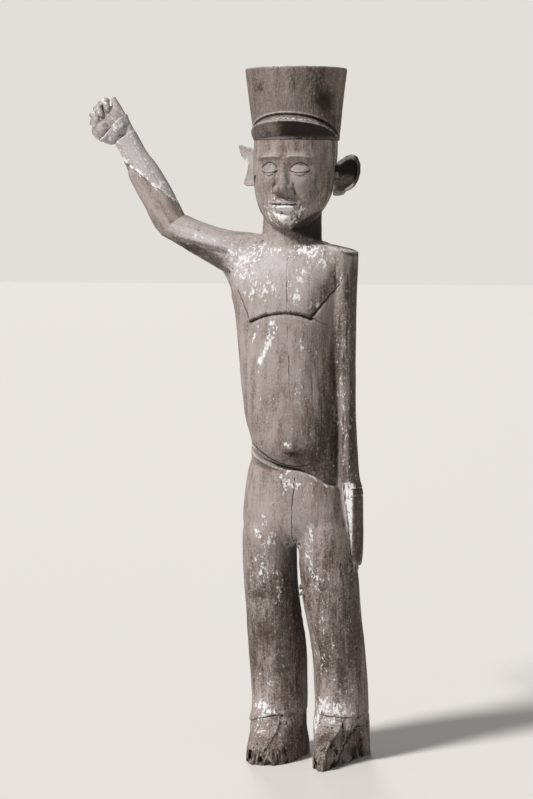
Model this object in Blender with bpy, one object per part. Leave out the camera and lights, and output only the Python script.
"""A standing figure carved from one log, with a peaked hat, let-in ears and a pegged, raised right arm.

Lengths are in millimetres and are scaled to metres where objects are made. The figure faces -Y and
its own left hand is on the +X side. The shapes are given about the log's axis, and the empty
"figure_axis" carries them all to the row frame, whose origin is under the middle of the whole.
"""

import math

import bmesh
import bpy
from mathutils import Matrix, Vector

MM = 0.001

# Driving dimensions
HEIGHT = 1300
HAT_BASE = 1166  # where the hat sits on the flat top of the head
AXIS_X, AXIS_Y = 131, 13  # from the middle of the whole figure to the log's axis
GAP = 0.4  # clearance kept between pieces that touch
AROUND = 26  # points round a lofted section

# Sections of the log carving: height, centre x, centre y, half width, half depth, squareness
TORSO = (
    (520, -2, 6, 74, 60, 2.3),
    (556, -2, 0, 78, 73, 2.2),
    (578, 0, -8, 79, 88, 2.1),
    (610, -1, -14, 78, 97, 2.1),
    (650, -6, -14, 84, 98, 2.1),
    (700, -10, -10, 88, 94, 2.1),
    (750, -13, -6, 90, 88, 2.2),
    (800, -16, -3, 93, 83, 2.3),
    (850, -17, 0, 98, 80, 2.4),
    (895, -17, 1, 107, 78, 2.5),
    (930, -12, 2, 106, 72, 2.6),
    (955, -8, 4, 98, 60, 2.6),
    (968, -6, 6, 84, 54, 2.4),
    (978, -8, 8, 62, 48, 2.2),
)
HIPS = (
    (396, 6, 2, 92, 62, 2.6),
    (420, 4, 0, 99, 76, 2.6),
    (450, 3, 0, 101, 80, 2.5),
    (495, 1, 0, 97, 79, 2.4),
    (535, -1, 0, 90, 76, 2.3),
    (560, -2, 1, 84, 73, 2.2),
    (574, -2, 2, 78, 66, 2.2),
)
RIGHT_LEG = (
    (62, -33, 4, 52, 60, 2.4),
    (105, -32, 6, 52, 57, 2.3),
    (150, -33, 6, 53, 56, 2.2),
    (206, -36, 4, 54, 59, 2.2),
    (280, -43, 2, 50, 63, 2.3),
    (340, -48, 0, 48, 69, 2.4),
    (400, -50, 0, 48, 73, 2.4),
    (450, -50, 0, 47, 74, 2.4),
)
LEFT_LEG = (
    (62, 89, 4, 51, 60, 2.4),
    (105, 89, 6, 50, 57, 2.3),
    (150, 87, 6, 50, 56, 2.2),
    (206, 83, 4, 49, 59, 2.2),
    (280, 73, 2, 51, 63, 2.3),
    (340, 67, 0, 52, 69, 2.4),
    (400, 61, 0, 50, 73, 2.4),
    (450, 56, 0, 47, 74, 2.4),
)
LEFT_ARM = (
    (372, 116, -4, 10, 20, 2.0),
    (388, 116, -4, 14, 25, 2.0),
    (440, 114, -5, 17, 30, 2.0),
    (490, 110, -5, 21, 33, 2.2),
    (517, 107, -4, 23, 33, 2.4),
    (530, 98, -3, 22, 33, 2.4),
    (560, 96, 0, 22, 33, 2.2),
    (620, 93, 4, 22, 35, 2.2),
    (720, 90, 8, 22, 38, 2.2),
    (820, 89, 9, 23, 41, 2.3),
    (900, 87, 8, 26, 46, 2.5),
    (940, 84, 7, 29, 50, 2.7),
    (962, 80, 7, 30, 48, 2.8),
    (970, 72, 7, 28, 42, 2.6),
)
NECK = (
    (945, -10, 8, 60, 58, 2.0),
    (975, -10, 8, 57, 55, 2.0),
    (1010, -9, 9, 55, 53, 2.0),
    (1070, -7, 8, 55, 55, 2.0),
)
HEAD = (
    (1006, -4, -42, 26, 26, 2.0),
    (1014, -4, -34, 40, 40, 2.0),
    (1034, -4, -20, 57, 60, 2.1),
    (1062, -3, -8, 69, 77, 2.2),
    (1096, -2, -2, 75, 85, 2.2),
    (1130, -1, 1, 77, 87, 2.2),
    (HAT_BASE - GAP, 0, 2, 77, 86, 2.2),
)
HAT = (
    (HAT_BASE, 1, 2, 80, 84, 2.0),
    (1190, 1, 2, 82, 86, 2.0),
    (1240, 0, 2, 87, 90, 2.0),
    (HEIGHT - 4, -1, 2, 93, 96, 2.0),
    (HEIGHT, -1, 2, 91, 94, 2.0),
)

# The feet's sections end with how far the toes are turned towards +X, in degrees
RIGHT_FOOT = (
    (0, -33, -14, 48, 88, 3.0, -15),
    (26, -33, -12, 48, 86, 2.8, -15),
    (50, -33, -6, 49, 74, 2.6, -12),
    (74, -34, 2, 52, 62, 2.5, -4),
    (92, -33, 5, 50, 58, 2.4, 0),
)
LEFT_FOOT = (
    (0, 96, -22, 52, 105, 3.0, 5),
    (26, 96, -20, 52, 101, 2.8, 5),
    (50, 94, -11, 52, 84, 2.6, 4),
    (74, 91, 0, 53, 63, 2.5, 2),
    (92, 89, 5, 49, 58, 2.4, 0),
)
BROKEN_SIDE = Vector((112, -35, 0))  # on the face where the left foot's outer toes are broken away
BROKEN_OUT = Vector((0.945, -0.327, 0))

# The raised arm lies in the plane y = 0: centre x, centre z, half height, half depth
UPPER_ARM = (
    (-62, 948, 43, 44),
    (-96, 951, 45, 42),
    (-132, 960, 40, 38),
    (-166, 974, 34, 34),
    (-201, 990, 30, 31),
    (-237, 1008, 28, 29),
    (-275, 1026, 28, 29),
)
FOREARM = (
    (-216, 976, 28, 27),
    (-238, 1007, 29, 27),
    (-251, 1026, 31, 27),
    (-267, 1057, 31, 26),
    (-285, 1088, 31, 25),
    (-300, 1113, 29, 24),
    (-313, 1136, 25, 21),
    (-323, 1157, 23, 19),
    (-334, 1175, 24, 19),
)
SHOULDER = Vector((-112, 0, 938))  # middle of the seam between the log and the arm
SHOULDER_OUT = Vector((-0.958, 0, 0.286)).normalized()
ELBOW = Vector((-238, 0, 1009))
ELBOW_OUT = Vector((-0.627, 0, 0.779)).normalized()
FOREARM_ALONG = Vector((-0.53, 0, 0.848)).normalized()
BREAK = Vector((-295, 0, 1102))  # middle of the old break that splits the forearm along its grain
BREAK_OUT = Vector((0.6, 0, 0.8)).normalized()
FILLER = 1.6  # thickness of the filler in the break
PALM_CENTRE, PALM_HALF = (-364, 3, 1201), (35, 22, 42)
FIRST_KNUCKLE, LAST_KNUCKLE = (-371, -14, 1233), (-384, -14, 1199)  # forefinger to little finger
FINGER_HALF = (8, 14, 18)
THUMB_CENTRE, THUMB_HALF = (-341, 2, 1217), (8, 12, 41)

# Joinery
SHOULDER_TENON = (46, 26, 38)  # length, depth along y, height
ELBOW_TENON = (30, 18, 22)
EAR_TENON = (22, 11, 26)
SHOULDER_PEG_RADIUS, SHOULDER_PEG_INNER_END = 4.5, -22
ELBOW_PEG_RADIUS, ELBOW_PEG_INNER_END = 3.5, -17
BREAK_DOWEL_RADIUS, BREAK_DOWEL_LENGTH = 4.5, 80
HAT_DOWEL_RADIUS, HAT_DOWEL_LENGTH = 12, 78
THROUGH = 120  # far enough along y for a hole to leave the wood

# Ears: centre x, centre y, centre z, lean of the top away from the head in degrees
LEFT_EAR = (88, 10, 1102, 14)
RIGHT_EAR = (-89, 12, 1117, -8)
EAR_HALF, EAR_BOWL_HALF = (25, 10, 39), (15, 9, 25)
EAR_FORWARD = 20  # degrees that the outer edge of each ear is turned back
EAR_SEAT = 73  # the flats that the ears stand against, from the log's axis
EAR_SEAT_BOX = (60, 52, 88)
EAR_TENON_SUNK = 9  # how far the tenons start inside the ears

# Peak of the hat, from the middle of its front round to each temple
PEAK_HALF_ANGLE = math.radians(84)
PEAK_RIM, PEAK_RIM_RISE = 1169, 38  # height of the rim at its ends, and how far it rises to the front
PEAK_BAND_RISE = 47  # the same for the line where its upper side leaves the hat
PEAK_REACH = 17  # how far the rim stands out in front
PEAK_STEPS = 18

MATERIALS = {
    "log_wood": ((0.30, 0.25, 0.22), 0.78),
    "hat_wood": ((0.29, 0.24, 0.21), 0.75),
    "arm_wood": ((0.37, 0.33, 0.31), 0.78),
    "peg_wood": ((0.17, 0.12, 0.09), 0.70),
    "break_filler": ((0.74, 0.72, 0.69), 0.90),
}


def clear_scene():
    for obj in list(bpy.data.objects):
        bpy.data.objects.remove(obj)


def make_material(slot):
    colour, roughness = MATERIALS[slot]
    material = bpy.data.materials.new(slot)
    material.use_nodes = True
    shader = material.node_tree.nodes["Principled BSDF"]
    shader.inputs["Base Color"].default_value = (*colour, 1)
    shader.inputs["Roughness"].default_value = roughness
    shader.inputs["Metallic"].default_value = 0
    return material


def add_object(name, mesh, axis, slot=None):
    """One object of the figure. Without a slot it is a helper that a Boolean reads, and isn't shown."""
    obj = bpy.data.objects.new(name, mesh)
    bpy.context.scene.collection.objects.link(obj)
    obj.parent = axis
    if slot:
        mesh.materials.append(bpy.data.materials.get(slot) or make_material(slot))
        mesh.shade_smooth()
        mesh.set_sharp_from_angle(angle=math.radians(40))
    else:
        obj.hide_render = True
        obj.display_type = "WIRE"
    return obj


def bridge_rings(name, rings):
    """A closed mesh through rings of points, all with the same count, capped at both ends."""
    bm = bmesh.new()
    made = [[bm.verts.new(point * MM) for point in ring] for ring in rings]
    count = len(rings[0])
    for low, high in zip(made, made[1:]):
        for i in range(count):
            j = (i + 1) % count
            bm.faces.new((low[i], low[j], high[j], high[i]))
    bm.faces.new(reversed(made[0]))
    bm.faces.new(made[-1])
    bmesh.ops.recalc_face_normals(bm, faces=bm.faces)
    mesh = bpy.data.meshes.new(name)
    bm.to_mesh(mesh)
    bm.free()
    return mesh


def filled_in(rows, spacing):
    """The rows with smooth ones between them, so that neighbours are at most about spacing apart."""
    last = len(rows) - 1
    slopes = []
    for i in range(len(rows)):
        before, after = max(i - 1, 0), min(i + 1, last)
        slopes.append([(b - a) / (after - before) for a, b in zip(rows[before], rows[after])])
    made = [list(rows[0])]
    for i in range(last):
        length = math.dist(rows[i][:2], rows[i + 1][:2])
        pieces = max(1, round(length / spacing))
        for step in range(1, pieces + 1):
            t = step / pieces
            a, b = (1 + 2 * t) * (1 - t) ** 2, t * t * (3 - 2 * t)
            c, d = t * (1 - t) ** 2, t * t * (t - 1)
            made.append(
                [
                    a * p + b * q + c * m + d * n
                    for p, q, m, n in zip(rows[i], rows[i + 1], slopes[i], slopes[i + 1])
                ]
            )
    return made


def rounded_square(angle, squareness):
    """A point of the outline |x|^n + |y|^n = 1."""
    power = 2 / squareness
    c, s = math.cos(angle), math.sin(angle)
    return math.copysign(abs(c) ** power, c), math.copysign(abs(s) ** power, s)


def column(name, rows, spacing=24, around=AROUND):
    """A closed loft through upright sections. Where a section ends with a turn, it is turned by it."""
    rings = []
    for z, x, y, half_x, half_y, squareness, *turn in filled_in(rows, spacing):
        outline = [rounded_square(2 * math.pi * i / around, squareness) for i in range(around)]
        turned = Matrix.Rotation(math.radians(sum(turn)), 3, "Z")
        rings.append([Vector((x, y, z)) + turned @ Vector((half_x * u, half_y * v, 0)) for u, v in outline])
    return bridge_rings(name, rings)


def limb(name, stations, spacing=18, around=18):
    """A closed loft of oval sections along a path in the plane y = 0."""
    rows = filled_in(stations, spacing)
    rings = []
    for i, (x, z, half_height, half_depth) in enumerate(rows):
        before, after = rows[max(i - 1, 0)], rows[min(i + 1, len(rows) - 1)]
        along = Vector((after[0] - before[0], 0, after[1] - before[1])).normalized()
        across = Vector((-along.z, 0, along.x))
        centre = Vector((x, 0, z))
        deep = Vector((0, half_depth, 0))
        angles = [2 * math.pi * k / around for k in range(around)]
        rings.append([centre + across * half_height * math.cos(a) + deep * math.sin(a) for a in angles])
    return bridge_rings(name, rings)


def box_mesh(name, size):
    bm = bmesh.new()
    bmesh.ops.create_cube(bm, size=1)
    bmesh.ops.scale(bm, vec=Vector(size) * MM, verts=bm.verts)
    mesh = bpy.data.meshes.new(name)
    bm.to_mesh(mesh)
    bm.free()
    return mesh


def ball_mesh(name, halves, segments, rings):
    """An ellipsoid with three half axes."""
    bm = bmesh.new()
    bmesh.ops.create_uvsphere(bm, u_segments=segments, v_segments=rings, radius=MM)
    bmesh.ops.scale(bm, vec=Vector(halves), verts=bm.verts)
    mesh = bpy.data.meshes.new(name)
    bm.to_mesh(mesh)
    bm.free()
    return mesh


def rod_mesh(name, radius, length, sides=16, taper=1.0):
    """A round rod along z, centred on the origin, whose upper end is taper times as wide."""
    bm = bmesh.new()
    bmesh.ops.create_cone(
        bm,
        cap_ends=True,
        segments=sides,
        radius1=radius * MM,
        radius2=radius * taper * MM,
        depth=length * MM,
    )
    mesh = bpy.data.meshes.new(name)
    bm.to_mesh(mesh)
    bm.free()
    return mesh


def place(obj, centre, x_direction=(1, 0, 0)):
    """Sets an object at centre with its x axis along a direction in the plane y = 0."""
    obj.location = Vector(centre) * MM
    direction = Vector(x_direction)
    obj.rotation_euler = (0, math.atan2(-direction.z, direction.x), 0)
    return obj


def combine(obj, operation, others):
    """Boolean modifiers that join others to obj or cut them from it."""
    for other in others:
        modifier = obj.modifiers.new(f"{operation.lower()} {other.name}", "BOOLEAN")
        modifier.operation = operation
        modifier.solver = "EXACT"
        modifier.object = other


def half_space(name, axis, point, outward, size, clearance):
    """A box cutter that lies outward of point, with its near face square to outward and just inside it."""
    obj = add_object(name, box_mesh(name, size), axis)
    return place(obj, point + outward * (size[0] / 2 - clearance), outward)


def tenon(name, axis, root, inward, size, sunk, spare=0.0):
    """A box along inward from root: a tenon, or with spare its mortise. It starts sunk behind root."""
    length, depth, height = size
    size = (length + sunk + spare, depth + 2 * spare, height + 2 * spare)
    obj = add_object(name, box_mesh(name, size), axis)
    return place(obj, root + inward * (length + spare - sunk) / 2, inward)


def cross_rod(name, axis, place_xz, ends_y, radius, slot=None, taper=1.0):
    """A round rod along y between two ends. The first end, at the lower y, is taper times as wide."""
    inner_end, outer_end = ends_y
    obj = add_object(name, rod_mesh(name, radius, outer_end - inner_end, 12, taper), axis, slot)
    obj.location = Vector((place_xz[0], (inner_end + outer_end) / 2, place_xz[1])) * MM
    obj.rotation_euler = (math.radians(90), 0, 0)
    return obj


def peak_mesh():
    """The hat's crescent peak: a five-sided profile swept round the front and thinned to each end."""
    rings = []
    for step in range(PEAK_STEPS + 1):
        angle = PEAK_HALF_ANGLE * (2 * step / PEAK_STEPS - 1)
        share = math.cos(angle * math.radians(88) / PEAK_HALF_ANGLE)
        front = Vector((math.sin(angle), -math.cos(angle) * 1.05, 0))
        wall = 79 + 6 * share
        rim = wall + 1 + PEAK_REACH * share**1.5
        rim_z = PEAK_RIM + PEAK_RIM_RISE * share
        band_z = rim_z + 2.5 + (PEAK_BAND_RISE - PEAK_RIM_RISE) * share
        profile = (
            (wall - 14, HAT_BASE + 0.5),
            (79, HAT_BASE + 0.5),
            (rim, rim_z - 1.8),
            (rim, rim_z + 1.2),
            (wall - 14, band_z + 4),
        )
        rings.append([Vector((1, 2, 0)) + front * radius + Vector((0, 0, z)) for radius, z in profile])
    return bridge_rings("hat_peak", rings)


def nose_mesh():
    """A plain straight nose on the front of the head."""
    rows = ((1070, 15, 30), (1082, 15, 30), (1110, 9, 22), (1140, 6, 12))
    rings = []
    for z, half_width, reach in rows:
        back, front = -70, -80 - reach * 0.75
        rings.append(
            [
                Vector((-3 - half_width, back, z)),
                Vector((-3 - half_width * 0.6, front + 6, z)),
                Vector((-3, front, z)),
                Vector((-3 + half_width * 0.6, front + 6, z)),
                Vector((-3 + half_width, back, z)),
            ]
        )
    return bridge_rings("nose", rings)


def ear_shell(name, axis, ear, slot):
    """A dished oval ear, with the tenon that holds it in the head."""
    x, y, z, lean = ear
    side = math.copysign(1, x)
    obj = add_object(name, ball_mesh(name, EAR_HALF, 20, 12), axis, slot)
    obj.location = Vector((x, y, z)) * MM
    obj.rotation_euler = (0, math.radians(lean), side * math.radians(EAR_FORWARD))
    bowl = add_object(name + "_bowl", ball_mesh(name + "_bowl", EAR_BOWL_HALF, 16, 10), obj)
    bowl.location = Vector((0, -EAR_BOWL_HALF[1], 0)) * MM

    stub = tenon(name + "_tenon", axis, *ear_tenon_root(ear), EAR_TENON, EAR_TENON_SUNK)
    head_cut = add_object(name + "_head_cut", box_mesh(name + "_head_cut", EAR_SEAT_BOX), axis)
    place(head_cut, (side * (EAR_SEAT + GAP - EAR_SEAT_BOX[0] / 2), y, z))
    combine(obj, "DIFFERENCE", (bowl, head_cut))
    combine(obj, "UNION", (stub,))


def ear_tenon_root(ear):
    """Where an ear's tenon starts, and its direction into the head."""
    x, y, z, _ = ear
    side = math.copysign(1, x)
    return Vector((side * (EAR_SEAT + 3), y + 3, z)), Vector((-side, 0, 0))


def build_log(axis):
    """The log carving: body, legs, hanging left arm, neck and head, with its mortises and peg holes."""
    log = add_object("carved_log", column("carved_log", TORSO), axis, "log_wood")
    for name, rows in (
        ("hips", HIPS),
        ("right_leg", RIGHT_LEG),
        ("left_leg", LEFT_LEG),
        ("right_foot", RIGHT_FOOT),
        ("left_foot", LEFT_FOOT),
        ("left_arm", LEFT_ARM),
        ("neck", NECK),
        ("head", HEAD),
    ):
        spacing = 40 if "leg" in name or name == "left_arm" else 26
        shape = add_object(name, column(name, rows, spacing, 22), axis)
        if name == "left_foot":
            combine(shape, "DIFFERENCE", (broken_side(axis),))
        combine(log, "UNION", (shape,))
    nose = add_object("nose", nose_mesh(), axis)
    root = add_object("arm_root", limb("arm_root", UPPER_ARM[:4]), axis)
    combine(log, "UNION", (nose, root))

    seam = half_space("shoulder_seam", axis, SHOULDER, SHOULDER_OUT, (90, 180, 124), GAP / 2)
    mortise = tenon("shoulder_mortise", axis, SHOULDER, -SHOULDER_OUT, SHOULDER_TENON, 5, GAP)
    combine(log, "DIFFERENCE", (seam, mortise, hat_socket("head_socket", axis)))
    for ear in (LEFT_EAR, RIGHT_EAR):
        side = math.copysign(1, ear[0])
        name = "left" if side > 0 else "right"
        hole = tenon(name + "_ear_mortise", axis, *ear_tenon_root(ear), EAR_TENON, EAR_TENON_SUNK, GAP)
        seat = add_object(name + "_ear_seat", box_mesh(name + "_ear_seat", EAR_SEAT_BOX), axis)
        place(seat, (side * (EAR_SEAT + EAR_SEAT_BOX[0] / 2), ear[1], ear[2]))
        combine(log, "DIFFERENCE", (seat, hole))
    for i, spot in enumerate(shoulder_peg_places()):
        ends = (SHOULDER_PEG_INNER_END - GAP, THROUGH)
        hole = cross_rod(f"shoulder_peg_hole_{i}", axis, spot, ends, SHOULDER_PEG_RADIUS + GAP)
        combine(log, "DIFFERENCE", (hole,))


def broken_side(axis):
    """Cuts away the outer toes of the left foot."""
    cutter = add_object("broken_side", box_mesh("broken_side", (60, 260, 300)), axis)
    cutter.location = (BROKEN_SIDE + BROKEN_OUT * 30) * MM
    cutter.rotation_euler = (0, 0, math.atan2(BROKEN_OUT.y, BROKEN_OUT.x))
    return cutter


def shoulder_peg_places():
    """The two pegs stand one above the other in the tenon."""
    middle = SHOULDER - SHOULDER_OUT * SHOULDER_TENON[0] * 0.5
    along_seam = Vector((SHOULDER_OUT.z, 0, -SHOULDER_OUT.x))
    return [((middle + along_seam * rise).x, (middle + along_seam * rise).z) for rise in (10, -10)]


def elbow_peg_place():
    middle = ELBOW - FOREARM_ALONG * ELBOW_TENON[0] * 0.5
    return middle.x, middle.z


def build_upper_arm(axis):
    arm = add_object("upper_arm", limb("upper_arm", UPPER_ARM), axis, "arm_wood")
    seam = half_space("arm_seam", axis, SHOULDER, -SHOULDER_OUT, (90, 180, 150), GAP / 2)
    stub = tenon("shoulder_tenon", axis, SHOULDER, -SHOULDER_OUT, SHOULDER_TENON, 12)
    mitre = half_space("elbow_mitre", axis, ELBOW, ELBOW_OUT, (90, 120, 160), GAP / 2)
    mortise = tenon("elbow_mortise", axis, ELBOW, -FOREARM_ALONG, ELBOW_TENON, 16, GAP)
    ends = (ELBOW_PEG_INNER_END - GAP, THROUGH)
    peg_hole = cross_rod("elbow_peg_hole", axis, elbow_peg_place(), ends, ELBOW_PEG_RADIUS + GAP)
    combine(arm, "DIFFERENCE", (seam, mitre, mortise, peg_hole))
    combine(arm, "UNION", (stub,))
    for i, spot in enumerate(shoulder_peg_places()):
        hole = cross_rod(f"tenon_peg_hole_{i}", axis, spot, (-THROUGH, THROUGH), SHOULDER_PEG_RADIUS + GAP)
        combine(arm, "DIFFERENCE", (hole,))


def dowel_hole(name, axis):
    hole = add_object(name, rod_mesh(name, BREAK_DOWEL_RADIUS + GAP, BREAK_DOWEL_LENGTH + 2 * GAP, 12), axis)
    hole.location = BREAK * MM
    hole.rotation_euler = (0, math.atan2(FOREARM_ALONG.x, FOREARM_ALONG.z), 0)
    return hole


def build_forearm(axis):
    """The forearm in its two broken parts, with the filler and the dowel between them."""
    forearm = add_object("forearm", limb("forearm", FOREARM), axis, "arm_wood")
    mitre = half_space("forearm_mitre", axis, ELBOW, -ELBOW_OUT, (90, 120, 160), GAP / 2)
    stub = tenon("elbow_tenon", axis, ELBOW, -FOREARM_ALONG, ELBOW_TENON, 12)
    beyond = half_space("beyond_break", axis, BREAK, BREAK_OUT, (160, 120, 400), FILLER / 2 + GAP)
    ends = (-THROUGH, THROUGH)
    peg_hole = cross_rod("elbow_tenon_hole", axis, elbow_peg_place(), ends, ELBOW_PEG_RADIUS + GAP)
    combine(forearm, "DIFFERENCE", (mitre,))
    combine(forearm, "UNION", (stub,))
    combine(forearm, "DIFFERENCE", (beyond, dowel_hole("forearm_dowel_hole", axis), peg_hole))

    hand = add_object("hand_fragment", limb("hand_fragment", FOREARM), axis, "arm_wood")
    below = half_space("below_break", axis, BREAK, -BREAK_OUT, (160, 120, 400), FILLER / 2 + GAP)
    combine(hand, "DIFFERENCE", (below,))
    combine(hand, "UNION", fist_solids(axis))
    combine(hand, "DIFFERENCE", (dowel_hole("hand_dowel_hole", axis),))

    filler = add_object("break_filler", limb("break_filler", FOREARM[2:]), axis, "break_filler")
    slab = add_object("filler_slab", box_mesh("filler_slab", (FILLER, 120, 200)), axis)
    place(slab, BREAK, BREAK_OUT)
    combine(filler, "INTERSECT", (slab,))
    combine(filler, "DIFFERENCE", (dowel_hole("filler_dowel_hole", axis),))

    mesh = rod_mesh("break_dowel", BREAK_DOWEL_RADIUS, BREAK_DOWEL_LENGTH, 12)
    dowel = add_object("break_dowel", mesh, axis, "peg_wood")
    dowel.location = BREAK * MM
    dowel.rotation_euler = (0, math.atan2(FOREARM_ALONG.x, FOREARM_ALONG.z), 0)


def fist_solids(axis):
    """Palm, four curled fingers across its front and the straight thumb beside them."""
    lean = math.atan2(FOREARM_ALONG.x, FOREARM_ALONG.z)

    def lump(name, x, y, z, halves, turn):
        obj = add_object(name, ball_mesh(name, halves, 14, 8), axis)
        obj.location = Vector((x, y, z)) * MM
        obj.rotation_euler = (0, lean + math.radians(turn), 0)
        return obj

    solids = [lump("palm", *PALM_CENTRE, PALM_HALF, 0)]
    for i in range(4):
        knuckle = [a + (b - a) * i / 3 for a, b in zip(FIRST_KNUCKLE, LAST_KNUCKLE)]
        solids.append(lump(f"finger_{i + 1}", *knuckle, FINGER_HALF, -48))
    solids.append(lump("thumb", *THUMB_CENTRE, THUMB_HALF, 0))
    return solids


def build_hat(axis):
    hat = add_object("peaked_hat", column("peaked_hat", HAT, 30, 36), axis, "hat_wood")
    peak = add_object("hat_peak", peak_mesh(), axis)
    combine(hat, "UNION", (peak,))
    combine(hat, "DIFFERENCE", (hat_socket("hat_socket", axis),))

    mesh = rod_mesh("hat_dowel", HAT_DOWEL_RADIUS, HAT_DOWEL_LENGTH)
    place(add_object("hat_dowel", mesh, axis, "peg_wood"), (0, 2, HAT_BASE))


def hat_socket(name, axis):
    """The hole for the dowel, half in the hat and half in the head, with room at both ends."""
    mesh = rod_mesh(name, HAT_DOWEL_RADIUS + GAP, HAT_DOWEL_LENGTH + 4)
    return place(add_object(name, mesh, axis), (0, 2, HAT_BASE))


def build_pegs(axis):
    """Tapered pegs driven in from behind, whose outer ends are flush with the wood round them."""
    upper, lower = shoulder_peg_places()
    for name, spot, ends, radius in (
        ("shoulder_peg_upper", upper, (SHOULDER_PEG_INNER_END, 58), SHOULDER_PEG_RADIUS),
        ("shoulder_peg_lower", lower, (SHOULDER_PEG_INNER_END, 60), SHOULDER_PEG_RADIUS),
        ("elbow_peg", elbow_peg_place(), (ELBOW_PEG_INNER_END, 29), ELBOW_PEG_RADIUS),
    ):
        cross_rod(name, axis, spot, ends, radius, "peg_wood", 0.9)


def build():
    clear_scene()
    axis = bpy.data.objects.new("figure_axis", None)
    bpy.context.scene.collection.objects.link(axis)
    axis.location = Vector((AXIS_X, AXIS_Y, 0)) * MM
    build_log(axis)
    build_hat(axis)
    ear_shell("left_ear", axis, LEFT_EAR, "log_wood")
    ear_shell("right_ear", axis, RIGHT_EAR, "log_wood")
    build_upper_arm(axis)
    build_forearm(axis)
    build_pegs(axis)


build()
